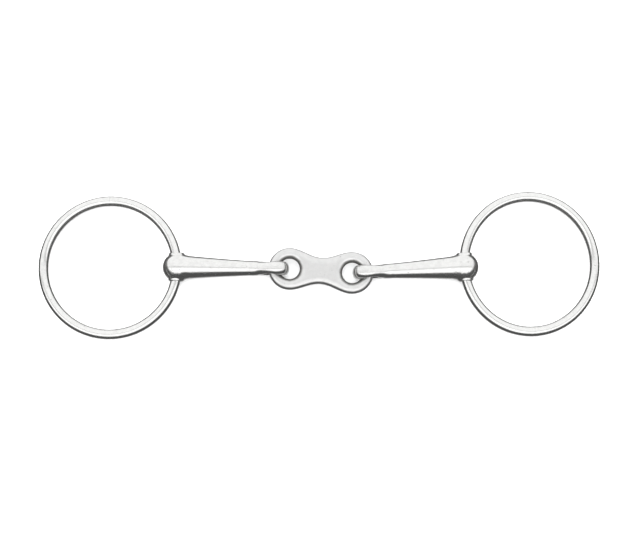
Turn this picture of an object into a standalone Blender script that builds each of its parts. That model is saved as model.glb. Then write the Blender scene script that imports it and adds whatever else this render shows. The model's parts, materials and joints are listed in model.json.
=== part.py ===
"""Loose-ring snaffle bit with a double-jointed mouth, lying flat as it would on a bench.

A flat centre link joins two tapered mouthpiece halves, called cannons. Each cannon ends in an
upright eye that is threaded through a hole of the link, and in a round butt that is drilled
across for a plain round ring. Nothing else holds the bit together, so it has five pieces.

Lengths are in metres and angles in radians. +X runs along the mouthpiece and +Z is up off the
bench. The origin is at the bottom centre of the whole bit.

Each piece is modelled about its own joint axis, which is its local Y axis, with its local X axis
pointing away from the link. The link is modelled about the middle of its plate.
"""

from math import asin, cos, hypot, pi, radians, sin, sqrt

import bmesh
import bpy
from mathutils import Matrix, Vector

MM = 0.001

# Rings. The mouth is measured between the inner faces of the two rings.
MOUTH_WIDTH = 135 * MM
RING_DIAMETER = 70 * MM
WIRE_RADIUS = 2.4 * MM

# Centre link
LINK_LENGTH = 50.8 * MM
LINK_THICKNESS = 4.6 * MM
LINK_BAR = 5.3 * MM
LINK_HOLE_RADIUS = 4.9 * MM
LINK_WAIST = 12.8 * MM
LINK_EDGE = 1.5 * MM

# Eye of a cannon. The eye is longer towards its tip than its hole is, so the bar at the tip,
# which takes the pull, is the thick one.
EYE_WIDTH = 6.5 * MM
EYE_HEIGHT = 14.4 * MM
EYE_HOLE_RADIUS = 4.2 * MM
EYE_TIP_BAR = 4.6 * MM
EYE_SLACK = 0.9 * MM
EYE_SHOULDER = 12.5 * MM
EYE_HOLE_EDGE = 1.5 * MM
EYE_RIM_EDGE = 1.1 * MM

# Round body of a cannon, from the drilled butt to the neck beside the eye
BUTT_RADIUS = 6.5 * MM
BODY_RADIUS = 5.8 * MM
NECK_RADIUS = 3.5 * MM
NECK_END_RADIUS = 2.9 * MM
NECK_TO_HOLE = 1 * MM
NECK_ROUNDING = 3 * MM
TAPER_BOW = 0.2

# Cross drilling of the butt, with a short boss around each mouth of the hole
DRILL_RADIUS = 3.1 * MM
BOSS_RADIUS = 3.8 * MM
BOSS_SPAN = 14 * MM

# How the pieces lie, turned about the vertical from a straight line along X
LINK_YAW = radians(-4.0)
LEFT_YAW = radians(-1.25)
RIGHT_YAW = radians(2.8)

# How edges are found, rounded and shaded
FLAT_TILT = 0.9
STEEP_TILT = 0.1
ON_CIRCLE = 1.01
SHARP_ANGLE = radians(40)
ROUND_PROFILE = 0.5

# Facets of the round shapes
RING_STEPS = 56
WIRE_SIDES = 12
BODY_SIDES = 24
BODY_STEPS = 10
NOSE_STEPS = 8
END_STEPS = 16
EASE_STEPS = 10
HOLE_SIDES = 32
EDGE_STEPS = 3

# Colours and roughness of the polished steel
RING_COLOUR = (0.80, 0.80, 0.79)
CANNON_COLOUR = (0.76, 0.76, 0.75)
LINK_COLOUR = (0.72, 0.72, 0.71)
RING_ROUGHNESS = 0.14
CANNON_ROUGHNESS = 0.18
LINK_ROUGHNESS = 0.24

# Sizes that follow from those above
RING_RADIUS = RING_DIAMETER / 2 - WIRE_RADIUS
WIRE_BOW = (RING_RADIUS - sqrt(RING_RADIUS**2 - (BOSS_SPAN / 2) ** 2)) / 2
RING_OFFSET = RING_RADIUS - WIRE_BOW
LINK_HOLE_X = LINK_LENGTH / 2 - LINK_BAR - LINK_HOLE_RADIUS
LINK_EYE_RADIUS = LINK_HOLE_RADIUS + LINK_BAR
BAR_PATH_RADIUS = LINK_HOLE_RADIUS + LINK_BAR / 2
CANNON_REACH = MOUTH_WIDTH / 2 + WIRE_RADIUS + WIRE_BOW - LINK_HOLE_X - BAR_PATH_RADIUS
EYE_HOLE_X = EYE_HOLE_RADIUS - LINK_BAR / 2 - EYE_SLACK
EYE_TIP_X = EYE_HOLE_X - EYE_HOLE_RADIUS - EYE_TIP_BAR
EYE_CREST_X = EYE_TIP_X + EYE_HEIGHT / 2
NECK_X = EYE_HOLE_X + EYE_HOLE_RADIUS + NECK_TO_HOLE

# A cannon rests on its butt and on its eye, and a ring on the bench with its far side
CANNON_DIP = asin((EYE_HEIGHT / 2 - BUTT_RADIUS) / CANNON_REACH)
RING_DIP = asin((BUTT_RADIUS - WIRE_RADIUS) / (RING_OFFSET + RING_RADIUS)) - CANNON_DIP


def clear_scene():
    """Remove every object that the scene starts with."""
    for item in list(bpy.data.objects):
        bpy.data.objects.remove(item, do_unlink=True)


def steel(name, colour, roughness):
    """Return a polished steel material."""
    material = bpy.data.materials.new(name)
    material.use_nodes = True
    shader = material.node_tree.nodes["Principled BSDF"]
    shader.inputs["Base Color"].default_value = (*colour, 1)
    shader.inputs["Metallic"].default_value = 1
    shader.inputs["Roughness"].default_value = roughness
    return material


def finished(bm, name):
    """Turn a bmesh into a smooth-shaded mesh whose faces point out."""
    bmesh.ops.recalc_face_normals(bm, faces=bm.faces)
    mesh = bpy.data.meshes.new(name)
    bm.to_mesh(mesh)
    bm.free()
    mesh.shade_smooth()
    mesh.set_sharp_from_angle(angle=SHARP_ANGLE)
    return mesh


def arc(centre_x, radius, start, end, steps):
    """Return points on a circle around a point of the local X axis, both ends included."""
    angles = [start + (end - start) * i / steps for i in range(steps + 1)]
    return [(centre_x + radius * cos(a), radius * sin(a)) for a in angles]


def ease(start, end, steps):
    """Return points on a half cosine wave between two points, both ends left out."""
    points = []
    for i in range(1, steps):
        share = i / steps
        rise = (1 - cos(pi * share)) / 2
        x = start[0] + (end[0] - start[0]) * share
        points.append((x, start[1] + (end[1] - start[1]) * rise))
    return points


def link_outline():
    """Return the dog-bone outline of the link: two round eyes eased into a waist."""
    crest = LINK_HOLE_X, LINK_EYE_RADIUS
    waist = 0, LINK_WAIST / 2
    right_end = arc(LINK_HOLE_X, LINK_EYE_RADIUS, -pi / 2, pi / 2, END_STEPS)
    upper = ease(crest, waist, EASE_STEPS) + [waist]
    half = right_end + upper + [(-x, y) for x, y in reversed(upper[:-1])]
    return half + [(-x, -y) for x, y in half]


def eye_outline():
    """Return the teardrop outline of a cannon's eye: a round tip eased into the neck."""
    crest = EYE_CREST_X, EYE_HEIGHT / 2
    neck = EYE_CREST_X + EYE_SHOULDER, NECK_RADIUS
    tip = arc(EYE_CREST_X, EYE_HEIGHT / 2, pi / 2, 3 * pi / 2, END_STEPS)
    upper = ease(crest, neck, EASE_STEPS) + [neck]
    return tip + [(x, -y) for x, y in upper] + list(reversed(upper))


def closed_loop(bm, points, z):
    """Add a closed loop of edges through flat points at one height."""
    verts = [bm.verts.new((x, y, z)) for x, y in points]
    return [bm.edges.new((verts[i - 1], verts[i])) for i in range(len(verts))]


def round_edges(bm, edges, radius):
    """Round over a set of edges."""
    bmesh.ops.bevel(bm, geom=edges, offset=radius, segments=EDGE_STEPS, profile=ROUND_PROFILE,
                    affect="EDGES", clamp_overlap=False)


def drilled_plate(outline, hole_xs, hole_radius, thickness, hole_edge, rim_edge):
    """Make a flat plate in the local XY plane with round holes and rounded edges."""
    bm = bmesh.new()
    bottom = -thickness / 2
    edges = closed_loop(bm, outline, bottom)
    for hole_x in hole_xs:
        circle = arc(hole_x, hole_radius, 0, 2 * pi, HOLE_SIDES)[:-1]
        edges += closed_loop(bm, circle, bottom)
    bmesh.ops.triangle_fill(bm, edges=edges, use_beauty=True)
    faces = list(bm.faces)
    grown = bmesh.ops.extrude_face_region(bm, geom=faces)["geom"]
    lifted = [item for item in grown if isinstance(item, bmesh.types.BMVert)]
    bmesh.ops.translate(bm, verts=lifted, vec=(0, 0, thickness))
    bmesh.ops.recalc_face_normals(bm, faces=bm.faces)

    def is_rim(edge):
        tilts = [abs(face.normal.z) for face in edge.link_faces]
        return max(tilts) > FLAT_TILT and min(tilts) < STEEP_TILT

    def is_round_hole(edge):
        x, y, _ = edge.verts[0].co
        return any(hypot(x - hole_x, y) < hole_radius * ON_CIRCLE for hole_x in hole_xs)

    round_edges(bm, [e for e in bm.edges if is_rim(e) and is_round_hole(e)], hole_edge)
    outer = [e for e in bm.edges if is_rim(e) and not is_round_hole(e)]
    round_edges(bm, outer, rim_edge)
    return bm


def turned(profile, sides):
    """Turn a profile of (x, radius) points about the local X axis."""
    bm = bmesh.new()
    verts = [bm.verts.new((x, 0, radius)) for x, radius in profile]
    edges = [bm.edges.new(pair) for pair in zip(verts, verts[1:])]
    bmesh.ops.spin(bm, geom=verts + edges, cent=(0, 0, 0), axis=(1, 0, 0), angle=2 * pi,
                   steps=sides, use_merge=True)
    bmesh.ops.remove_doubles(bm, verts=bm.verts, dist=MM / 1000)
    return bm


def body_profile():
    """Return the profile of a cannon's round body, from the end of its neck to its nose.

    The body thins from the butt to the neck along a slightly bowed line, and the nose is a
    sphere about the middle of the drilling.
    """
    length = CANNON_REACH - NECK_X - NECK_ROUNDING
    butt_depth = sqrt(BUTT_RADIUS**2 - BODY_RADIUS**2)
    points = [(NECK_X, 0), (NECK_X, NECK_END_RADIUS)]
    for i in range(BODY_STEPS + 1):
        share = 1 - (1 - butt_depth / length) * i / BODY_STEPS
        drop = (1 + TAPER_BOW) * share - TAPER_BOW * share**2
        radius = BODY_RADIUS - (BODY_RADIUS - NECK_RADIUS) * drop
        points.append((CANNON_REACH - length * share, radius))
    start = pi - asin(BODY_RADIUS / BUTT_RADIUS)
    nose = arc(CANNON_REACH, BUTT_RADIUS, start, 0, NOSE_STEPS)
    return points + nose[1:-1] + [(CANNON_REACH + BUTT_RADIUS, 0)]


def cross_bar(radius, length):
    """Make a round bar along the local Y axis through the middle of the butt."""
    bm = bmesh.new()
    bmesh.ops.create_cone(bm, cap_ends=True, segments=HOLE_SIDES, radius1=radius,
                          radius2=radius, depth=length)
    place = Matrix.Translation((CANNON_REACH, 0, 0)) @ Matrix.Rotation(pi / 2, 4, "X")
    bmesh.ops.transform(bm, matrix=place, verts=bm.verts)
    return bm


def combined(name, base, steps):
    """Apply Boolean steps, each an operation and a bmesh, to a bmesh and return the mesh."""
    body = bpy.data.objects.new(name, finished(base, name))
    bpy.context.scene.collection.objects.link(body)
    tools = []
    for operation, shape in steps:
        tool = bpy.data.objects.new("tool", finished(shape, "tool"))
        bpy.context.scene.collection.objects.link(tool)
        tool.hide_render = True
        tool.display_type = "WIRE"
        boolean = body.modifiers.new(operation.lower(), "BOOLEAN")
        boolean.operation = operation
        boolean.solver = "EXACT"
        boolean.object = tool
        tools.append(tool)
    evaluated = body.evaluated_get(bpy.context.evaluated_depsgraph_get())
    mesh = bpy.data.meshes.new_from_object(evaluated)
    mesh.name = name
    for item in [body, *tools]:
        bpy.data.objects.remove(item, do_unlink=True)
    mesh.set_sharp_from_angle(angle=SHARP_ANGLE)
    return mesh


def cannon_mesh():
    """Make a cannon: eye, tapered body and butt in one, with the butt drilled across."""
    eye = drilled_plate(eye_outline(), [EYE_HOLE_X], EYE_HOLE_RADIUS, EYE_WIDTH,
                        EYE_HOLE_EDGE, EYE_RIM_EDGE)
    upright = Matrix.Rotation(pi / 2, 4, "X")
    bmesh.ops.transform(eye, matrix=upright, verts=eye.verts)
    return combined("cannon", turned(body_profile(), BODY_SIDES), [
        ("UNION", eye),
        ("UNION", cross_bar(BOSS_RADIUS, BOSS_SPAN)),
        ("DIFFERENCE", cross_bar(DRILL_RADIUS, 2 * BOSS_SPAN)),
    ])


def link_mesh():
    """Make the centre link: a flat dog-bone plate with a round hole in each eye."""
    holes = [LINK_HOLE_X, -LINK_HOLE_X]
    plate = drilled_plate(link_outline(), holes, LINK_HOLE_RADIUS, LINK_THICKNESS,
                          LINK_EDGE, LINK_EDGE)
    return finished(plate, "centre_link")


def ring_mesh():
    """Make a ring of round wire whose hoop lies flat, with the drilling's axis at the origin."""
    bm = bmesh.new()
    near_side = RING_OFFSET - RING_RADIUS
    section = []
    for i in range(WIRE_SIDES):
        angle = 2 * pi * i / WIRE_SIDES
        section.append((near_side + WIRE_RADIUS * cos(angle), 0, WIRE_RADIUS * sin(angle)))
    verts = [bm.verts.new(point) for point in section]
    edges = [bm.edges.new((verts[i - 1], verts[i])) for i in range(WIRE_SIDES)]
    bmesh.ops.spin(bm, geom=verts + edges, cent=(RING_OFFSET, 0, 0), axis=(0, 0, 1),
                   angle=2 * pi, steps=RING_STEPS, use_merge=True)
    return finished(bm, "ring")


def add_piece(name, mesh, material, parent, place, turn):
    """Add a piece with its own material, placed and turned within its parent."""
    piece = bpy.data.objects.new(name, mesh)
    bpy.context.scene.collection.objects.link(piece)
    if not mesh.materials:
        mesh.materials.append(None)
    piece.material_slots[0].link = "OBJECT"
    piece.material_slots[0].material = material
    piece.parent = parent
    piece.location = place
    piece.rotation_euler = turn
    return piece


def add_side(side, link, direction, yaw, cannon, ring):
    """Add one cannon on its end bar of the link, and the ring in its butt."""
    heading = yaw if direction > 0 else pi + yaw
    bar = Vector((direction * LINK_HOLE_X, 0, 0))
    bar += BAR_PATH_RADIUS * Vector((cos(heading - LINK_YAW), sin(heading - LINK_YAW), 0))
    half = add_piece(f"cannon_{side}", cannon,
                     steel(f"cannon_{side}_steel", CANNON_COLOUR, CANNON_ROUGHNESS),
                     link, bar, (0, CANNON_DIP, heading - LINK_YAW))
    add_piece(f"ring_{side}", ring, steel(f"ring_{side}_steel", RING_COLOUR, RING_ROUGHNESS),
              half, (CANNON_REACH, 0, 0), (0, RING_DIP, 0))


def stand_at_origin(frame):
    """Move the whole bit so that the bottom centre of its box is at the origin."""
    bpy.context.view_layer.update()
    corners = [piece.matrix_world @ vert.co for piece in frame.children_recursive
               for vert in piece.data.vertices]
    lows = [min(corner[axis] for corner in corners) for axis in range(3)]
    highs = [max(corner[axis] for corner in corners) for axis in range(3)]
    frame.location = (-(lows[0] + highs[0]) / 2, -(lows[1] + highs[1]) / 2, -lows[2])
    bpy.context.view_layer.update()


def main():
    """Build the bit."""
    clear_scene()
    frame = bpy.data.objects.new("bit_frame", None)
    bpy.context.scene.collection.objects.link(frame)
    link = add_piece("centre_link", link_mesh(), steel("link_steel", LINK_COLOUR, LINK_ROUGHNESS),
                     frame, (0, 0, 0), (0, 0, LINK_YAW))
    cannon = cannon_mesh()
    ring = ring_mesh()
    add_side("left", link, -1, LEFT_YAW, cannon, ring)
    add_side("right", link, 1, RIGHT_YAW, cannon, ring)
    stand_at_origin(frame)


main()
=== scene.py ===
"""Looks of a loose-ring snaffle bit with a double-jointed mouth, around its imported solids.

The bit has five pieces of polished stainless steel: a flat centre link, two tapered cannons and
two rings of round wire. Each is remade here as a fine surface around the place of the plain solid
that it stands for, and gets its own finish. The surfaces keep to the solids but for small things
that wear and handwork leave: a ring out of round or turned in its drilling, softer edges and a
fuller butt. Lengths are in metres.

Every piece is worked out in its own axes: X points away from the link along the piece, Y is the
axis of the piece's joint, and Z is up. A Place carries it into the frame.
"""

from __future__ import annotations

import json
import logging
import math
from dataclasses import dataclass, field
from enum import Enum
from typing import Any, Callable

import bpy
import numpy as np
import numpy.typing as npt
from mathutils import Matrix, Vector

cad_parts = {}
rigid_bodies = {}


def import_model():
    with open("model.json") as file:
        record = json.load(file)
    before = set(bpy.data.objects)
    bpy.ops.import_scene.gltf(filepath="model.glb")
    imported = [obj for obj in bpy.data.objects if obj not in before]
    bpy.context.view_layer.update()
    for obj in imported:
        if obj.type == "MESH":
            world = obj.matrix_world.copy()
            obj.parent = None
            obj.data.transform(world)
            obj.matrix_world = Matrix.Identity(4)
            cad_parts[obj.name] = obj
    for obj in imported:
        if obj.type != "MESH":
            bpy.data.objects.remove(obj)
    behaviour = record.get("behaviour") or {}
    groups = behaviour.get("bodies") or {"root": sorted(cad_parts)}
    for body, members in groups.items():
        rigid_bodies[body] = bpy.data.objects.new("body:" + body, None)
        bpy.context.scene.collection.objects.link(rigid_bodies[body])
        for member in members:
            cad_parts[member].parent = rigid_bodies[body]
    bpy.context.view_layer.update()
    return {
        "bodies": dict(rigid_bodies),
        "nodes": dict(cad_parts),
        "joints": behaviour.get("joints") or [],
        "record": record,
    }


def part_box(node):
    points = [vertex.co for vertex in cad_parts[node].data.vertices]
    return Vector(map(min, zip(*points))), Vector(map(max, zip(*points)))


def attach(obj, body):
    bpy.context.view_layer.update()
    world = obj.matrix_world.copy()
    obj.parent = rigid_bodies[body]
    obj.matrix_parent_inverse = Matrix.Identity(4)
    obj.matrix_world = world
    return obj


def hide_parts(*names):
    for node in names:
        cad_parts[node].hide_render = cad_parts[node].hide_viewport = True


Array = npt.NDArray[np.float64]
ShapeField = Callable[[Array], Array]

MM = 0.001
LOG = logging.getLogger("snaffle_bit")


class Side(Enum):
    """The side of the bit, as the names of bodies and nodes say it."""

    LEFT = "left"
    RIGHT = "right"


# ---------------------------------------------------------------- places in the frame


@dataclass(frozen=True)
class Place:
    """Where the axes of a piece lie in the frame.

    Args:
        origin: The piece's own origin.
        axes: The directions of its X, Y and Z, as the rows of a matrix.
    """

    origin: Array
    axes: Array

    @classmethod
    def facing(cls, origin: Array, ahead: Array, across: Array) -> Place:
        """Make a place from a joint.

        Args:
            origin: The piece's origin.
            ahead: Roughly the direction of X.
            across: The exact direction of Y.

        Returns:
            The place, with X turned square to Y.
        """
        y = across / np.linalg.norm(across)
        x = ahead - (ahead @ y) * y
        x = x / np.linalg.norm(x)
        return cls(origin, np.stack([x, y, np.cross(x, y)]))

    def carry(self, points: Array) -> Array:
        """Return points of the piece's own axes as points of the frame."""
        return self.origin + points @ self.axes


@dataclass(frozen=True)
class Layout:
    """Reads the places of the pieces from the frame.

    Args:
        joints: The frame's joints by name.
    """

    joints: dict[str, dict[str, Any]]

    @classmethod
    def of(cls, frame: dict[str, Any]) -> Layout:
        """Return the layout of a loaded frame."""
        return cls({joint["name"]: joint for joint in frame["joints"]})

    def pivot(self, name: str) -> Array:
        """Return the point of a joint."""
        return np.array(self.joints[name]["pos_m"], float)

    def hinge_axis(self, name: str) -> Array:
        """Return the direction of the local Y axis that a joint turns about."""
        return -np.array(self.joints[name]["axis"], float)

    def cannon(self, side: Side) -> Place:
        """Return the place of a cannon: its fold's pivot, facing its ring's pivot."""
        fold = self.pivot(f"{side.value}_fold")
        swing = self.pivot(f"{side.value}_ring_swing")
        return Place.facing(fold, swing - fold, self.hinge_axis(f"{side.value}_fold"))

    def reach(self, side: Side) -> float:
        """Return the distance from a cannon's fold to the axis of its ring."""
        fold = self.pivot(f"{side.value}_fold")
        return float(np.linalg.norm(self.pivot(f"{side.value}_ring_swing") - fold))

    def ring(self, side: Side) -> Place:
        """Return the place of a ring: its pivot, facing the middle of its hoop."""
        swing = self.pivot(f"{side.value}_ring_swing")
        low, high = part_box(f"ring_{side.value}")
        middle = (np.array(low) + np.array(high)) / 2
        return Place.facing(swing, middle - swing, self.hinge_axis(f"{side.value}_ring_swing"))

    def link(self, bar_path: float) -> tuple[Place, float]:
        """Find the centre link between the two folds.

        Args:
            bar_path: The distance from the middle of a hole to the fold's pivot.

        Returns:
            The place of the link, and half the distance between its holes.
        """
        holes = []
        for side in (Side.LEFT, Side.RIGHT):
            outward = self.cannon(side).axes[0] * (1, 1, 0)
            outward = outward / np.linalg.norm(outward)
            holes.append(self.pivot(f"{side.value}_fold") - bar_path * outward)
        left, right = holes
        up = np.array([0.0, 0.0, 1.0])
        ahead = (right - left) / np.linalg.norm(right - left)
        return (Place((left + right) / 2, np.stack([ahead, np.cross(up, ahead), up])),
                float(np.linalg.norm(right - left)) / 2)


# ---------------------------------------------------------------- shapes as whole arrays


def smooth_step(low: float, high: float, values: Array) -> Array:
    """Return 0 below low, 1 above high and a smooth S between: t squared times 3 less 2t."""
    share = np.clip((values - low) / (high - low), 0, 1)
    return share * share * (3 - 2 * share)


def half_cosine(start: float, end: float, share: Array) -> Array:
    """Return values that ease from start to end along half a cosine wave."""
    return start + (end - start) * (1 - np.cos(np.pi * np.clip(share, 0, 1))) / 2


def blend_union(a: Array, b: Array, reach: Array | float) -> Array:
    """Join two shapes with a fillet.

    Args:
        a: Signed distances to the first shape, negative inside.
        b: Signed distances to the second.
        reach: How far the fillet reaches.

    Returns:
        The lesser of a and b, less a quarter of reach times the square of how close they are.
    """
    near = np.maximum(reach - np.abs(a - b), 0) / reach
    return np.minimum(a, b) - near * near * reach / 4


def round_overlap(a: Array, b: Array, radius: Array | float) -> Array:
    """Keep what two shapes share, with the edge between them rounded to a circle.

    Args:
        a: Signed distances to the first shape, negative inside.
        b: Signed distances to the second.
        radius: The radius of the rounded edge.

    Returns:
        The greater of a and b, and near the edge the distance from a circle of that radius.
    """
    corner = np.hypot(np.maximum(a + radius, 0), np.maximum(b + radius, 0))
    return np.minimum(np.maximum(a, b), -radius) + corner


def slope_of(shape: ShapeField, points: Array) -> Array:
    """Return the gradient of a shape's distances by central differences."""
    step = MM / 50
    columns = []
    for axis in range(3):
        shift = np.zeros(3)
        shift[axis] = step
        columns.append((shape(points + shift) - shape(points - shift)) / (2 * step))
    return np.stack(columns, axis=1)


def settle(shape: ShapeField, points: Array, rounds: int) -> Array:
    """Move points onto a shape's surface by Newton's method, along the gradient."""
    for _ in range(rounds):
        slope = slope_of(shape, points)
        points = points - (shape(points) / (slope * slope).sum(1))[:, None] * slope
    return points


def even_out(points: Array, quads: npt.NDArray[np.int64]) -> Array:
    """Return each point moved halfway to the mean of its neighbours."""
    starts = np.concatenate([quads[:, i] for i in range(4)])
    ends = np.concatenate([quads[:, (i + 1) % 4] for i in range(4)])
    count = np.bincount(starts, minlength=len(points))[:, None]
    total = np.stack([np.bincount(starts, points[ends, axis], len(points))
                      for axis in range(3)], axis=1)
    return (points + total / count) / 2


@dataclass
class Skin:
    """A closed surface of four-sided faces.

    Args:
        points: The corners, in the piece's own axes.
        quads: The four corners of each face, counter-clockwise from outside.
    """

    points: Array
    quads: npt.NDArray[np.int64]

    @classmethod
    def around(cls, shape: ShapeField, low: Array, high: Array, step: float) -> Skin:
        """Net a shape that has holes through it, which one grid can't cover.

        Space is cut into cubes. A cube that the surface crosses gets one point, and an edge of
        a cube that the surface crosses gets the face between its four cubes' points. The
        points are then moved onto the surface and evened out.

        Args:
            shape: The signed distance of points from the surface, negative inside.
            low: The lowest corner of the space.
            high: The highest corner of the space.
            step: The side of a cube.

        Returns:
            The surface.
        """
        counts = np.ceil((high - low) / step).astype(int) + 1
        lattice = np.stack(np.meshgrid(*[np.arange(n) for n in counts], indexing="ij"), -1)
        inside = shape((low + lattice * step).reshape(-1, 3)).reshape(counts) < 0
        corners = sum(inside[i:counts[0] - 1 + i, j:counts[1] - 1 + j, k:counts[2] - 1 + k]
                      .astype(int) for i in (0, 1) for j in (0, 1) for k in (0, 1))
        crossed = (corners > 0) & (corners < 8)
        index = np.full(crossed.shape, -1)
        index[crossed] = np.arange(crossed.sum())
        faces = []
        for axis in range(3):
            after = np.roll(inside, -1, axis)
            cut = np.argwhere(inside != after)
            side, top = np.eye(3, dtype=int)[[(axis + 1) % 3, (axis + 2) % 3]]
            around = [cut - side - top, cut - top, cut, cut - side]
            quad = np.stack([index[tuple(cell.T)] for cell in around], axis=1)
            leaving = inside[tuple(cut.T)]
            faces.append(np.where(leaving[:, None], quad, quad[:, ::-1]))
        quads = np.concatenate(faces)
        points = settle(shape, low + (np.argwhere(crossed) + 0.5) * step, 3)
        for _ in range(3):
            points = settle(shape, even_out(points, quads), 2)
        return cls(points, quads)

    @classmethod
    def tube(cls, grid: Array) -> Skin:
        """Close a grid of points that comes back on itself along both of its directions.

        Args:
            grid: Points by step along the tube and step around it, going so that along
                crossed with around points inwards.

        Returns:
            The surface.
        """
        along, around = grid.shape[:2]
        index = np.arange(along * around).reshape(along, around)
        ahead, beside = np.roll(index, -1, 0), np.roll(index, -1, 1)
        corner = np.roll(ahead, -1, 1)
        quads = np.stack([index, beside, corner, ahead], axis=-1).reshape(-1, 4)
        return cls(grid.reshape(-1, 3), quads)

    def piece(self, name: str, place: Place, marks: dict[str, Array]) -> bpy.types.Object:
        """Make the surface an object of the scene.

        Args:
            name: The object's name.
            place: Where the surface goes.
            marks: Values for each point, one number or three, that materials read by name.

        Returns:
            The object, which is at the origin with its place in its mesh.
        """
        mesh = bpy.data.meshes.new(name)
        mesh.from_pydata(place.carry(self.points), [], self.quads)
        mesh.shade_smooth()
        for mark, values in marks.items():
            kind = "FLOAT" if values.ndim == 1 else "FLOAT_VECTOR"
            entry = "value" if values.ndim == 1 else "vector"
            attribute = mesh.attributes.new(mark, kind, "POINT")
            attribute.data.foreach_set(entry, values.astype(np.float32).ravel())
        piece = bpy.data.objects.new(name, mesh)
        bpy.context.scene.collection.objects.link(piece)
        return piece


# ---------------------------------------------------------------- shader maths


class Signal:
    """A socket's output, which Python's operators turn into Math nodes."""

    def __init__(self, graph: Graph, socket: bpy.types.NodeSocket) -> None:
        """Keep the node tree and the output socket."""
        self.graph = graph
        self.socket = socket

    def maths(self, operation: str, *values: Signal | float) -> Signal:
        """Return one Math node's result.

        Args:
            operation: The node's operation.
            values: Its inputs, in order.

        Returns:
            The result.
        """
        return self.graph.signal("ShaderNodeMath", {"operation": operation},
                                 dict(enumerate(values)))

    def __add__(self, other: Signal | float) -> Signal:
        """Return the sum."""
        return self.maths("ADD", self, other)

    def __radd__(self, other: float) -> Signal:
        """Return the sum."""
        return self.maths("ADD", other, self)

    def __sub__(self, other: Signal | float) -> Signal:
        """Return the difference."""
        return self.maths("SUBTRACT", self, other)

    def __rsub__(self, other: float) -> Signal:
        """Return the difference, the other way round."""
        return self.maths("SUBTRACT", other, self)

    def __mul__(self, other: Signal | float) -> Signal:
        """Return the product."""
        return self.maths("MULTIPLY", self, other)

    def __rmul__(self, other: float) -> Signal:
        """Return the product."""
        return self.maths("MULTIPLY", other, self)

    def rise(self, low: float, high: float) -> Signal:
        """Return 0 below low, 1 above high and a smooth S between."""
        return self.graph.signal(
            "ShaderNodeMapRange", {"interpolation_type": "SMOOTHSTEP"},
            {"Value": self, "From Min": low, "From Max": high})

    def band(self, low: float, high: float, edge: float) -> Signal:
        """Return 1 from low to high and 0 outside, with soft edges of a given width."""
        return self.rise(low - edge, low + edge) * (1 - self.rise(high - edge, high + edge))


class Graph:
    """A node tree to which nodes are added by name, settings and inputs."""

    def __init__(self, tree: bpy.types.NodeTree) -> None:
        """Keep the node tree."""
        self.tree = tree

    def node(self, kind: str, settings: dict[str, Any] | None = None,
             inputs: dict[str | int, Any] | None = None) -> bpy.types.Node:
        """Add a node.

        Args:
            kind: The node's type.
            settings: Its properties, set first.
            inputs: Its sockets by name or number, each a Signal to link or a plain value.

        Returns:
            The node.
        """
        made = self.tree.nodes.new(kind)
        for name, value in (settings or {}).items():
            setattr(made, name, value)
        for key, value in (inputs or {}).items():
            if isinstance(value, Signal):
                self.tree.links.new(value.socket, made.inputs[key])
            else:
                made.inputs[key].default_value = value
        return made

    def signal(self, kind: str, settings: dict[str, Any] | None = None,
               inputs: dict[str | int, Any] | None = None, output: str | int = 0) -> Signal:
        """Add a node and return one of its outputs."""
        return Signal(self, self.node(kind, settings, inputs).outputs[output])

    def stretched(self, vector: Signal, scale: tuple[float, float, float]) -> Signal:
        """Return a vector with each of its directions scaled."""
        return self.signal("ShaderNodeVectorMath", {"operation": "MULTIPLY"},
                           {0: vector, 1: scale})

    def noise(self, vector: Signal, scale: float, detail: float = 2.0,
              roughness: float = 0.5) -> Signal:
        """Return a noise pattern from 0 to 1 with a number of lumps to the metre."""
        return self.signal("ShaderNodeTexNoise", {}, {
            "Vector": vector, "Scale": scale, "Detail": detail, "Roughness": roughness})

    def mix(self, share: Signal, first: Signal | tuple, second: Signal | tuple) -> Signal:
        """Return a mix of two colours."""
        return self.signal("ShaderNodeMix", {"data_type": "RGBA"},
                           {0: share, 6: first, 7: second}, 2)


# ---------------------------------------------------------------- finishes


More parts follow.
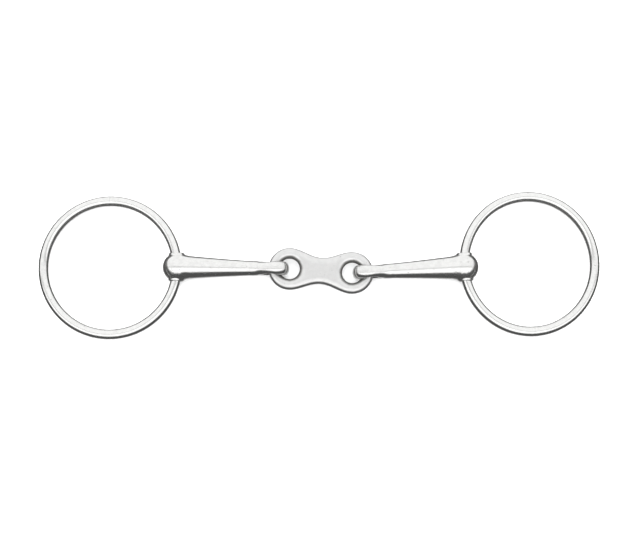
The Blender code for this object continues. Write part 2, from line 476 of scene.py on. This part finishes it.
@dataclass(frozen=True)
class SteelFinish:
    """Polished stainless steel, as one kind of piece shows it.

    Args:
        name: The material's name.
        colour: The steel's own colour.
        grime: The colour of the film that polishing leaves in pits, seams, holes and
        corners; in holes and corners it is also the colour of painted shade.
        roughness: How blurred reflections are on the clean metal.
        mottle: How much the roughness varies in patches.
        waviness: The height of the slow ups and downs that hand polishing leaves.
        wave_stretch: How much longer those are along the piece than across it.
        line_depth: The depth of the fine polishing lines along the piece.
        pit_depth: The depth of the small pits of the casting that polishing left.
    """

    name: str
    colour: tuple[float, float, float]
    grime: tuple[float, float, float] = (0.16, 0.155, 0.145)
    roughness: float = 0.16
    mottle: float = 0.08
    waviness: float = 0.03 * MM
    wave_stretch: float = 3.0
    line_depth: float = 0.004 * MM
    pit_depth: float = 0.02 * MM

    WAVES_TO_THE_METRE = 160.0
    LINES_TO_THE_METRE = 2600.0
    LINE_STRETCH = 0.05
    PITS_TO_THE_METRE = 900.0
    PATCHES_TO_THE_METRE = 420.0
    PITS_BETWEEN = (0.70, 0.80)
    DULL_BETWEEN = (0.35, 0.75)
    # The mask of painted shade and polishing film: where it starts and ends, and how patchy it is.
    FILM_BETWEEN = (0.15, 0.85)
    FILM_EVEN, FILM_PATCHY = 0.55, 0.9
    DULL_SHADE = 0.93
    HEAT_TINT = (0.60, 0.555, 0.49, 1)
    # How far pits, heat and the mask of painted shade and polishing film darken or tint the steel.
    PIT_STAIN, HEAT_STAIN, FILM_STAIN = 0.5, 0.55, 0.75
    LINE_ROUGH, PIT_ROUGH, HEAT_ROUGH, FILM_ROUGH = 0.05, 0.10, 0.16, 0.22

    def material(self) -> bpy.types.Material:
        """Build the material.

        The pattern follows "grain", each point's place in the piece's own axes, so that the
        polishing lines run along the piece. The mark of film and shade is 1 in holes and corners,
        where it darkens the steel as painted shade together with the film that polishing leaves;
        on a ring it marks the weld's seam, where it is that film alone, and on a cannon it gives
        the butt's nose darker, rougher patches. "heat" is 1 on a weld.

        Returns:
            The material.
        """
        material = bpy.data.materials.new(self.name)
        material.use_nodes = True
        tree = material.node_tree
        graph = Graph(tree)
        shader = tree.nodes["Principled BSDF"]
        grain = self._mark(graph, "grain", "Vector")
        grime = self._mark(graph, "grime", "Fac")
        heat = self._mark(graph, "heat", "Fac")
        along = graph.stretched(grain, (1 / self.wave_stretch, 1.0, 1.0))
        waves = graph.noise(along, self.WAVES_TO_THE_METRE, 2.0)
        lines = graph.noise(graph.stretched(grain, (self.LINE_STRETCH, 1.0, 1.0)),
                            self.LINES_TO_THE_METRE, 3.0)
        patches = graph.noise(grain, self.PATCHES_TO_THE_METRE, 4.0, 0.62)
        pits = graph.noise(grain, self.PITS_TO_THE_METRE, 1.0)
        pits = pits.rise(*self.PITS_BETWEEN)
        # Painted shade: in holes and corners this mask darkens the steel as though shaded there, together
        # with the polishing film that it also stands for.
        film = grime * (self.FILM_EVEN + self.FILM_PATCHY * patches)
        film = film.rise(*self.FILM_BETWEEN)
        dull = patches.rise(*self.DULL_BETWEEN)

        steel = graph.mix(dull, (*self.colour, 1),
                          (*[self.DULL_SHADE * part for part in self.colour], 1))
        steel = graph.mix(self.PIT_STAIN * pits, steel, (*self.grime, 1))
        steel = graph.mix(self.HEAT_STAIN * heat, steel, self.HEAT_TINT)
        # Painted shade with polishing film: the steel is darkened towards the dark film colour where that
        # mask is up.
        steel = graph.mix(self.FILM_STAIN * film, steel, (*self.grime, 1))
        rough = self.roughness + self.mottle * dull
        rough = rough + self.LINE_ROUGH * lines + self.PIT_ROUGH * pits
        rough = rough + self.HEAT_ROUGH * heat + self.FILM_ROUGH * film
        height = self.waviness * waves + self.line_depth * lines - self.pit_depth * pits
        bump = graph.signal("ShaderNodeBump", {}, {
            "Strength": 1.0, "Distance": 1.0, "Height": height}, "Normal")

        tree.links.new(steel.socket, shader.inputs["Base Color"])
        tree.links.new(rough.socket, shader.inputs["Roughness"])
        tree.links.new(bump.socket, shader.inputs["Normal"])
        shader.inputs["Metallic"].default_value = 1.0
        return material

    @staticmethod
    def _mark(graph: Graph, name: str, output: str) -> Signal:
        """Return the values that a piece's points carry under a name."""
        return graph.signal("ShaderNodeAttribute", {"attribute_name": name}, {}, output)


CANNON_STEEL = SteelFinish("mouthpiece_polished_steel", (0.78, 0.78, 0.77),
                           roughness=0.17, waviness=0.035 * MM)
LINK_STEEL = SteelFinish("link_satin_steel", (0.72, 0.72, 0.715), roughness=0.26,
                         mottle=0.10, waviness=0.02 * MM, wave_stretch=1.6)
RING_STEEL = SteelFinish("ring_drawn_steel", (0.80, 0.80, 0.79), roughness=0.14,
                         mottle=0.06, waviness=0.016 * MM, wave_stretch=6.0,
                         pit_depth=0.01 * MM)


# ---------------------------------------------------------------- the pieces


def dressed(piece: bpy.types.Object, material: bpy.types.Material, body: str, node: str) -> bpy.types.Object:
    """Give a piece its material and its body, and let it stand for its plain solid.

    Args:
        piece: The piece.
        material: Its finish.
        body: The body that it rides on.
        node: The solid that it stands for.

    Returns:
        The piece.
    """
    piece.data.materials.append(material)
    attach(piece, body)
    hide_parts(node)
    faces = len(piece.data.polygons)
    LOG.info("%s rides on %s: %d faces in %s", piece.name, body, faces, material.name)
    return piece


def hole_grime(distance: Array, fade: float) -> Array:
    """Return 1 on a hole's wall and 0 further from it than fade, for painted shade and film."""
    return 1 - smooth_step(0.0, fade, distance)


@dataclass
class CentreLink:
    """The flat dog-bone plate between the cannons.

    Args:
        place: Where the link lies.
        hole_x: Half the distance between the middles of its holes.
        thickness: The plate's thickness.
        hole_radius: The radius of each hole.
        bar: The metal between a hole and the end of the link.
        waist: The plate's width in the middle.
        edge: The radius of the rounded outer edge.
        hole_edge: The radius of the rounded edges of the holes.
        pillow: How far polishing has lowered the plate next to all of its edges.
        pillow_reach: How far from an edge that starts.
    """

    place: Place
    hole_x: float
    thickness: float = 4.6 * MM
    hole_radius: float = 4.9 * MM
    bar: float = 5.3 * MM
    waist: float = 12.8 * MM
    edge: float = 1.8 * MM
    hole_edge: float = 2.1 * MM
    pillow: float = 0.42 * MM
    pillow_reach: float = 3.6 * MM

    BAR_PATH = 7.55 * MM
    NET = 0.25 * MM
    MARGIN = 0.8 * MM
    # Reach of the painted shade, with polishing film, round each hole.
    HOLE_FILM = 2.5 * MM

    def distance(self, points: Array) -> Array:
        """Work out how far points are from the plate's surface.

        The outline is a circle round each hole, eased into the waist along half a cosine
        wave. The plate is what the outline shares with a slab, with its edges rounded, less
        the two holes. Near every edge the slab thins by the pillow along a smooth S.

        Args:
            points: Points in the link's own axes.

        Returns:
            Signed distances, negative inside.
        """
        x, y, z = np.abs(points.T)
        eye = self.hole_radius + self.bar
        share = x / self.hole_x
        half_width = half_cosine(self.waist / 2, eye, share)
        lean = (eye - self.waist / 2) * np.pi / 2 / self.hole_x * np.sin(np.pi * share)
        side = (y - half_width) / np.hypot(1, lean)
        from_hole = np.hypot(x - self.hole_x, y)
        outline = np.where(x > self.hole_x, from_hole - eye, side)
        to_edge = np.minimum(-outline, from_hole - self.hole_radius)
        fall = self.pillow * (1 - smooth_step(0.0, self.pillow_reach, to_edge))
        slab = z - self.thickness / 2 + fall
        plate = round_overlap(outline, slab, self.edge)
        return round_overlap(plate, self.hole_radius - from_hole, self.hole_edge)

    def build(self) -> Skin:
        """Net the plate."""
        reach = np.array([self.hole_x + self.hole_radius + self.bar,
                          self.hole_radius + self.bar, self.thickness / 2])
        return Skin.around(self.distance, -reach - self.MARGIN, reach + self.MARGIN, self.NET)

    def dress(self, skin: Skin) -> bpy.types.Object:
        """Make the link an object and give it its finish."""
        x, y, z = np.abs(skin.points.T)
        from_wall = np.hypot(x - self.hole_x, y) - self.hole_radius
        # Painted shade: the steel round each hole is darkened as though shaded there, together with the film
        # that polishing leaves.
        marks = {"grain": skin.points, "heat": np.zeros(len(x)),
                 "grime": hole_grime(from_wall, self.HOLE_FILM)}
        piece = skin.piece("centre_link_plate", self.place, marks)
        return dressed(piece, LINK_STEEL.material(), "link", "centre_link")


@dataclass
class Cannon:
    """Half of the mouthpiece: upright eye, tapered round body and drilled butt in one.

    Args:
        side: Which of the two it is.
        place: Where it lies.
        reach: The distance from the fold's axis to the axis of the drilling.
        eye_width: The eye's width along the fold's axis.
        eye_height: The eye's height.
        eye_tip: Where the eye ends, on the link's side of the fold's axis.
        eye_hole_x: The middle of the eye's hole.
        eye_hole_radius: The radius of the eye's hole.
        eye_shoulder: The length over which the eye eases into the neck.
        eye_edge: The radius of the eye's rounded outer edges.
        eye_hole_edge: The radius of the rounded edges of the eye's hole.
        neck: The radius of the body where it meets the eye.
        neck_x: Where the body starts within the eye's shoulder.
        taper: The length over which the body thins.
        body: The body's radius where it meets the butt.
        bow: How much faster the body thins next to the butt.
        butt: The radius of the butt's nose, seen from the side.
        butt_width: The butt's width along the axis of the drilling.
        drill: The radius of the drilling.
        boss: The radius of the flat cheek round each mouth of the drilling.
        boss_span: The distance between the two cheeks.
        boss_edge: The radius of the rounded edges of the cheeks.
        mouth_edge: The radius of the rounded mouths of the drilling.
    """

    side: Side
    place: Place
    reach: float
    eye_width: float = 6.5 * MM
    eye_height: float = 14.4 * MM
    eye_tip: float = -8.15 * MM
    eye_hole_x: float = 0.65 * MM
    eye_hole_radius: float = 4.2 * MM
    eye_shoulder: float = 12.5 * MM
    eye_edge: float = 2.7 * MM
    eye_hole_edge: float = 1.8 * MM
    neck: float = 3.45 * MM
    neck_x: float = 7.0 * MM
    taper: float = 38.4 * MM
    body: float = 6.1 * MM
    bow: float = 0.26
    butt: float = 6.45 * MM
    butt_width: float = 13.6 * MM
    drill: float = 2.95 * MM
    boss: float = 3.6 * MM
    boss_span: float = 13.5 * MM
    boss_edge: float = 0.3 * MM
    mouth_edge: float = 0.28 * MM

    NET = 0.25 * MM
    MARGIN = 0.8 * MM
    ROUND_FROM = 0.3
    NECK_FLAT = 0.3 * MM
    EYE_OVERRUN = 1.0 * MM
    HIDDEN_END = 1.5 * MM
    EYE_FILLET = 0.8 * MM
    FLARE_LENGTH = 3.0 * MM
    BUTT_FILLET, BUTT_FLARE = 0.8 * MM, 1.6 * MM
    CHEEK_FILLET, CHEEK_FLARE = 0.5 * MM, 0.7 * MM
    # Reaches of the painted shade, with polishing film, round the eye's hole and the drilling, and the share
    # of the nose's darker, rougher patches.
    EYE_FILM = 1.2 * MM
    DRILLING_FILM = 0.55 * MM
    NOSE_FILM = 0.5
    NOSE_BETWEEN = (3.0 * MM, 4.8 * MM)
    GRAIN_SHIFT = 0.1

    def _eye(self, x: Array, y: Array, z: Array) -> Array:
        """Return distances to the eye.

        Seen from the side it is a circle at the tip, eased into the neck along half a cosine
        wave. Seen from above it is a bar with a half-round tip. The eye is what the two share,
        with rounded edges that grow until the bar is round at the neck.
        """
        radius = self.eye_height / 2
        crest = self.eye_tip + radius
        share = (x - crest) / self.eye_shoulder
        half_height = half_cosine(radius, self.neck, share)
        steepest = (radius - self.neck) * np.pi / 2 / self.eye_shoulder
        lean = steepest * np.sin(np.pi * np.clip(share, 0, 1))
        shoulder = (np.abs(z) - half_height) / np.hypot(1, lean)
        from_side = np.where(x < crest, np.hypot(x - crest, z) - radius, shoulder)
        half = self.eye_width / 2
        bend = self.eye_tip + half
        from_above = np.where(x < bend, np.hypot(x - bend, y), np.abs(y)) - half
        rounder = smooth_step(self.ROUND_FROM, 1.0, share)
        edge = self.eye_edge + (self.neck - self.NECK_FLAT - self.eye_edge) * rounder
        eye = round_overlap(from_side, from_above, edge)
        inner_end = x - crest - self.eye_shoulder - self.EYE_OVERRUN
        return round_overlap(eye, inner_end, self.HIDDEN_END)

    def _trunk(self, x: Array, y: Array, z: Array) -> Array:
        """Return distances to the round body and the butt.

        The body's radius falls with the distance s from the butt, as a share of the taper:
        body less (body less neck) times ((1 + bow) s - bow s squared). The butt is an egg
        into which it flares, and the cheeks are a short bar across the egg.
        """
        share = np.clip((self.reach - x) / self.taper, 0, 1)
        drop = (1 + self.bow) * share - self.bow * share**2
        radius = self.body - (self.body - self.neck) * drop
        start = round_overlap(np.hypot(y, z) - radius, self.neck_x - x, self.HIDDEN_END)
        body = np.maximum(start, x - self.reach)
        narrowed = y * 2 * self.butt / self.butt_width
        egg = np.sqrt((x - self.reach)**2 + narrowed**2 + z**2) - self.butt
        towards_body = smooth_step(0.0, self.FLARE_LENGTH, self.reach - x)
        trunk = blend_union(body, egg, self.BUTT_FILLET + self.BUTT_FLARE * towards_body)
        across = np.hypot(x - self.reach, z) - self.boss
        cheeks = round_overlap(across, np.abs(y) - self.boss_span / 2, self.boss_edge)
        return blend_union(trunk, cheeks, self.CHEEK_FILLET + self.CHEEK_FLARE * towards_body)

    def distance(self, points: Array) -> Array:
        """Work out how far points are from the cannon's surface.

        The eye and the body are joined with a fillet, and the eye's hole and the drilling are
        taken out with rounded mouths.

        Args:
            points: Points in the cannon's own axes.

        Returns:
            Signed distances, negative inside.
        """
        x, y, z = points.T
        solid = blend_union(self._eye(x, y, z), self._trunk(x, y, z), self.EYE_FILLET)
        eye_hole = self.eye_hole_radius - np.hypot(x - self.eye_hole_x, z)
        solid = round_overlap(solid, eye_hole, self.eye_hole_edge)
        drilling = self.drill - np.hypot(x - self.reach, z)
        return round_overlap(solid, drilling, self.mouth_edge)

    def build(self) -> Skin:
        """Net the cannon."""
        half = self.eye_height / 2
        low = np.array([self.eye_tip, -half, -half]) - self.MARGIN
        high = np.array([self.reach + self.butt, half, half]) + self.MARGIN
        return Skin.around(self.distance, low, high, self.NET)

    def dress(self, skin: Skin) -> bpy.types.Object:
        """Make the cannon an object and give it its finish."""
        x, _, z = skin.points.T
        from_eye_wall = np.hypot(x - self.eye_hole_x, z) - self.eye_hole_radius
        from_drilling = np.hypot(x - self.reach, z) - self.drill
        # Painted shade: the steel next to the eye's hole and the drilling is darkened as though shaded
        # there, together with the film that polishing leaves.
        near = np.maximum(hole_grime(from_eye_wall, self.EYE_FILM),
                          hole_grime(from_drilling, self.DRILLING_FILM))
        # The butt's nose gets darker, rougher patches through the same mask.
        nose = smooth_step(*self.NOSE_BETWEEN, x - self.reach)
        near = np.maximum(near, self.NOSE_FILM * nose)
        shift = np.array([0.0 if self.side is Side.LEFT else self.GRAIN_SHIFT, 0.0, 0.0])
        marks = {"grain": skin.points + shift, "heat": np.zeros(len(x)), "grime": near}
        name = f"cannon_{self.side.value}"
        piece = skin.piece(f"{name}_body", self.place, marks)
        return dressed(piece, CANNON_STEEL.material(), f"{self.side.value}_cannon", name)


@dataclass
class LooseRing:
    """A ring of round wire, bent to a circle and welded, with its drilling's axis as Y.

    Args:
        side: Which of the two it is.
        place: Where it lies.
        diameter: The outside diameter.
        wire: The wire's radius.
        wire_bow: How far the wire's middle lies off the drilling's axis inside the drilling.
        oval: How much the ring is squeezed along X and stretched along Y.
        slack_turn: How far it has turned flat on the table within the play of its drilling.
        weld: The angle of the weld round the ring from the drilling.
        swell: How much thicker the wire is at the weld.
    """

    side: Side
    place: Place
    diameter: float = 70 * MM
    wire: float = 2.4 * MM
    wire_bow: float = 0.38 * MM
    oval: float = 0.0
    slack_turn: float = 0.0
    weld: float = -0.5 * math.pi
    swell: float = 0.06 * MM

    STEPS = 480
    SIDES = 44
    WELD_REACH = 1.6 * MM
    SEAM_REACH = 0.35 * MM
    SEAM_DEPTH = 0.05 * MM
    SEAM_FILM = 0.35
    GRAIN_SHIFT = 0.3

    def _angles(self) -> tuple[Array, Array]:
        """Return the angles round the ring and round the wire, as a grid."""
        round_ring = np.linspace(0, 2 * np.pi, self.STEPS, endpoint=False)
        round_wire = np.linspace(0, 2 * np.pi, self.SIDES, endpoint=False)
        return np.meshgrid(round_ring, round_wire, indexing="ij")

    def _weld_bell(self, round_ring: Array, width: float) -> Array:
        """Return a bell curve that is 1 on the weld."""
        radius = self.diameter / 2 - self.wire
        turn = (round_ring - self.weld + np.pi) % (2 * np.pi) - np.pi
        return np.exp(-(turn * radius / width) ** 2)

    def build(self) -> Skin:
        """Sweep the wire's circle round the ring.

        The ring's radius is its mean less the oval times the cosine of twice the angle. The
        wire's radius is its own plus the weld's swell, less a fine seam in the middle of it.
        The slack turn is about the middle of the drilling.

        Returns:
            The surface.
        """
        a, b = self._angles()
        radius = self.diameter / 2 - self.wire - self.oval * np.cos(2 * a)
        middle = self.diameter / 2 - self.wire - self.wire_bow - self.oval
        wire = self.wire + self.swell * self._weld_bell(a, self.WELD_REACH)
        wire = wire - self.SEAM_DEPTH * self._weld_bell(a, self.SEAM_REACH)
        out = radius + wire * np.cos(b)
        x, y = middle - out * np.cos(a), out * np.sin(a)
        cos, sin = math.cos(self.slack_turn), math.sin(self.slack_turn)
        grid = np.stack([cos * x - sin * y, sin * x + cos * y, wire * np.sin(b)], -1)
        return Skin.tube(grid)

    def dress(self, skin: Skin) -> bpy.types.Object:
        """Make the ring an object and give it its finish."""
        a, b = (values.ravel() for values in self._angles())
        length = (self.diameter / 2 - self.wire) * a
        shift = 0.0 if self.side is Side.LEFT else self.GRAIN_SHIFT
        grain = np.stack([length + shift, self.wire * np.cos(b), self.wire * np.sin(b)], 1)
        marks = {"grain": grain, "heat": self._weld_bell(a, self.WELD_REACH),
                 "grime": self.SEAM_FILM * self._weld_bell(a, self.SEAM_REACH)}
        name = f"ring_{self.side.value}"
        piece = skin.piece(f"{name}_wire", self.place, marks)
        return dressed(piece, RING_STEEL.material(), f"{self.side.value}_ring", name)


# ---------------------------------------------------------------- the studio


@dataclass(frozen=True)
class Studio:
    """A pale table under a soft tent of light, and the camera above it.

    Args:
        target: The point that the camera looks at.
        lean_x: How far the camera leans to the side, in degrees.
        lean_y: How far it leans towards the front.
        distance: The distance from the target to the camera.
        roll: How far the camera is turned about its own axis.
        lens: The focal length in millimetres, on the camera's usual sensor.
    """

    target: tuple[float, float, float] = (-0.0011, -0.00665, 0.006)
    lean_x: float = -0.685
    lean_y: float = 4.886
    distance: float = 0.75
    roll: float = -0.34
    lens: float = 87.29

    FLOOR_HALF = 3.0
    FLOOR_DROP = 0.2 * MM
    WALL_HEIGHT = 2.0
    WALL_SIDES = 96
    FLOOR_COLOUR = (0.88, 0.88, 0.88, 1)
    TENT_LEAN = math.radians(30)
    TENT_NARROWING = 0.2
    TENT_EDGE = (0.0, 0.15)
    FRONT_PANEL = (math.radians(-60), math.radians(-9), 0.05)
    GAP = (math.radians(-6), math.radians(2), 0.03)
    PANEL_LIGHT, FRONT_EXTRA, GAP_LOSS = 1.09, 0.28, 0.60
    BENCH_GLOW, GLOW_BETWEEN = 0.60, (0.62, 0.97)
    DARK_ROOM = 0.09
    KEY_SIZE = 2.4
    KEY_ENERGY = 70.0
    KEY_SPOT = (-0.1, 0.25, 1.6)

    def camera(self) -> None:
        """Set up the camera at the viewing angle."""
        back = np.array([math.tan(math.radians(self.lean_x)),
                         -math.tan(math.radians(self.lean_y)), 1.0])
        back = back / np.linalg.norm(back)
        right = np.cross([0.0, 1.0, 0.0], back)
        right = right / np.linalg.norm(right)
        up = np.cross(back, right)
        turn = math.radians(self.roll)
        right, up = (math.cos(turn) * right + math.sin(turn) * up,
                     math.cos(turn) * up - math.sin(turn) * right)
        data = bpy.data.cameras.new("camera")
        data.lens = self.lens
        data.clip_start = 0.01
        camera = bpy.data.objects.new("camera", data)
        bpy.context.scene.collection.objects.link(camera)
        basis = Matrix(np.stack([right, up, back], axis=1).tolist()).to_4x4()
        spot = Vector(self.target) + self.distance * Vector(back)
        camera.matrix_world = Matrix.Translation(spot) @ basis
        bpy.context.scene.camera = camera

    def floor(self) -> None:
        """Lay the pale floor and stand a pale wall round it.

        The steel mirrors the tent of light and not the floor, so both are hidden from it.
        """
        material = bpy.data.materials.new("pale_floor")
        material.use_nodes = True
        shader = material.node_tree.nodes["Principled BSDF"]
        shader.inputs["Base Color"].default_value = self.FLOOR_COLOUR
        shader.inputs["Roughness"].default_value = 0.9
        shader.inputs["Specular IOR Level"].default_value = 0.1
        angles = np.linspace(0, 2 * np.pi, self.WALL_SIDES, endpoint=False)
        edge = self.FLOOR_HALF * np.stack([np.cos(angles), np.sin(angles)], 1)
        low = np.column_stack([edge, np.full(len(edge), -self.FLOOR_DROP)])
        high = np.column_stack([edge, np.full(len(edge), self.WALL_HEIGHT)])
        index = np.arange(len(edge))
        ahead = np.roll(index, -1)
        wall = np.stack([ahead, index, index + len(edge), ahead + len(edge)], 1)
        self._sheet("floor", low, [index.tolist()], material)
        backdrop = self._sheet("backdrop", np.concatenate([low, high]), wall.tolist(),
                               material)
        backdrop.visible_shadow = False
        backdrop.visible_diffuse = False

    @staticmethod
    def _sheet(name: str, points: Array, faces: list[list[int]],
               material: bpy.types.Material) -> bpy.types.Object:
        """Add a sheet of the room that the steel doesn't mirror.

        Args:
            name: The sheet's name.
            points: Its corners.
            faces: The corners of each of its faces.
            material: Its finish.

        Returns:
            The sheet.
        """
        mesh = bpy.data.meshes.new(name)
        mesh.from_pydata(points.tolist(), [], faces)
        mesh.materials.append(material)
        sheet = bpy.data.objects.new(name, mesh)
        bpy.context.scene.collection.objects.link(sheet)
        sheet.visible_glossy = False
        return sheet

    def tent(self) -> None:
        """Paint the tent of light on the world.

        The light comes from the back half of the sky and a little beyond, seen round an axis
        that leans towards +Y. A narrow gap parts the overhead panel from a brighter front
        panel, and the front of the room below them is dark. A glow from straight below stands
        for the pale floor, which the steel doesn't mirror.
        """
        world = bpy.data.worlds.new("studio")
        world.use_nodes = True
        tree = world.node_tree
        graph = Graph(tree)
        direction = graph.signal("ShaderNodeTexCoord", {}, {}, "Generated")
        axes = graph.node("ShaderNodeSeparateXYZ", {}, {0: direction})
        y, z = Signal(graph, axes.outputs["Y"]), Signal(graph, axes.outputs["Z"])
        x = Signal(graph, axes.outputs["X"])
        tilted = math.cos(self.TENT_LEAN) * z + math.sin(self.TENT_LEAN) * y
        tilted = tilted - self.TENT_NARROWING * x.maths("ABSOLUTE", x)
        round_x = y.maths("ARCTAN2", y, z)
        open_sky = tilted.rise(*self.TENT_EDGE)
        front = round_x.band(*self.FRONT_PANEL)
        gap = round_x.band(*self.GAP)
        light = self.PANEL_LIGHT + self.FRONT_EXTRA * front - self.GAP_LOSS * gap
        glow = self.BENCH_GLOW * (-1.0 * z).rise(*self.GLOW_BETWEEN)
        strength = self.DARK_ROOM + light * open_sky + glow
        background = tree.nodes["Background"]
        tree.links.new(strength.socket, background.inputs["Strength"])
        background.inputs["Color"].default_value = (1.0, 1.0, 1.0, 1)
        bpy.context.scene.world = world

    def key_light(self) -> None:
        """Hang one broad soft light over the table."""
        data = bpy.data.lights.new("key", "AREA")
        data.shape = "DISK"
        data.size = self.KEY_SIZE
        data.energy = self.KEY_ENERGY
        light = bpy.data.objects.new("key", data)
        bpy.context.scene.collection.objects.link(light)
        light.location = self.KEY_SPOT
        light.rotation_mode = "QUATERNION"
        light.rotation_quaternion = Vector(light.location).to_track_quat("Z", "Y")
        light.visible_glossy = False
        light.visible_camera = False

    def build(self) -> None:
        """Set up the floor, the lights and the camera."""
        self.floor()
        self.tent()
        self.key_light()
        self.camera()
        bpy.context.scene.view_settings.view_transform = "Standard"
        LOG.info("studio is ready, lens %.1f mm", self.lens)


# ---------------------------------------------------------------- the whole bit


@dataclass
class SnaffleBit:
    """The whole bit: a centre link, two cannons and two rings.

    Args:
        layout: Where the frame puts the pieces.
        ovals: How far each ring is out of round.
        slack_turns: How far each ring has turned within the play of its drilling.
    """

    layout: Layout
    ovals: dict[Side, float] = field(default_factory=lambda: {
        Side.LEFT: -0.10 * MM, Side.RIGHT: 0.40 * MM})
    slack_turns: dict[Side, float] = field(default_factory=lambda: {
        Side.LEFT: math.radians(1.1), Side.RIGHT: 0.0})

    def build(self) -> list[bpy.types.Object]:
        """Build every piece and return them."""
        place, hole_x = self.layout.link(CentreLink.BAR_PATH)
        parts: list[CentreLink | Cannon | LooseRing] = [CentreLink(place, hole_x)]
        for side in Side:
            parts.append(Cannon(side, self.layout.cannon(side), self.layout.reach(side)))
            ring = self.layout.ring(side)
            parts.append(LooseRing(side, ring, oval=self.ovals[side],
                                   slack_turn=self.slack_turns[side]))
        return [part.dress(part.build()) for part in parts]


def main() -> None:
    """Load the frame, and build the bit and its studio."""
    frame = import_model()
    Studio().build()
    pieces = SnaffleBit(Layout.of(frame)).build()
    LOG.info("%d pieces built", len(pieces))


if __name__ == "__main__":
    logging.basicConfig(level=logging.INFO, format="%(name)s: %(message)s")
    main()
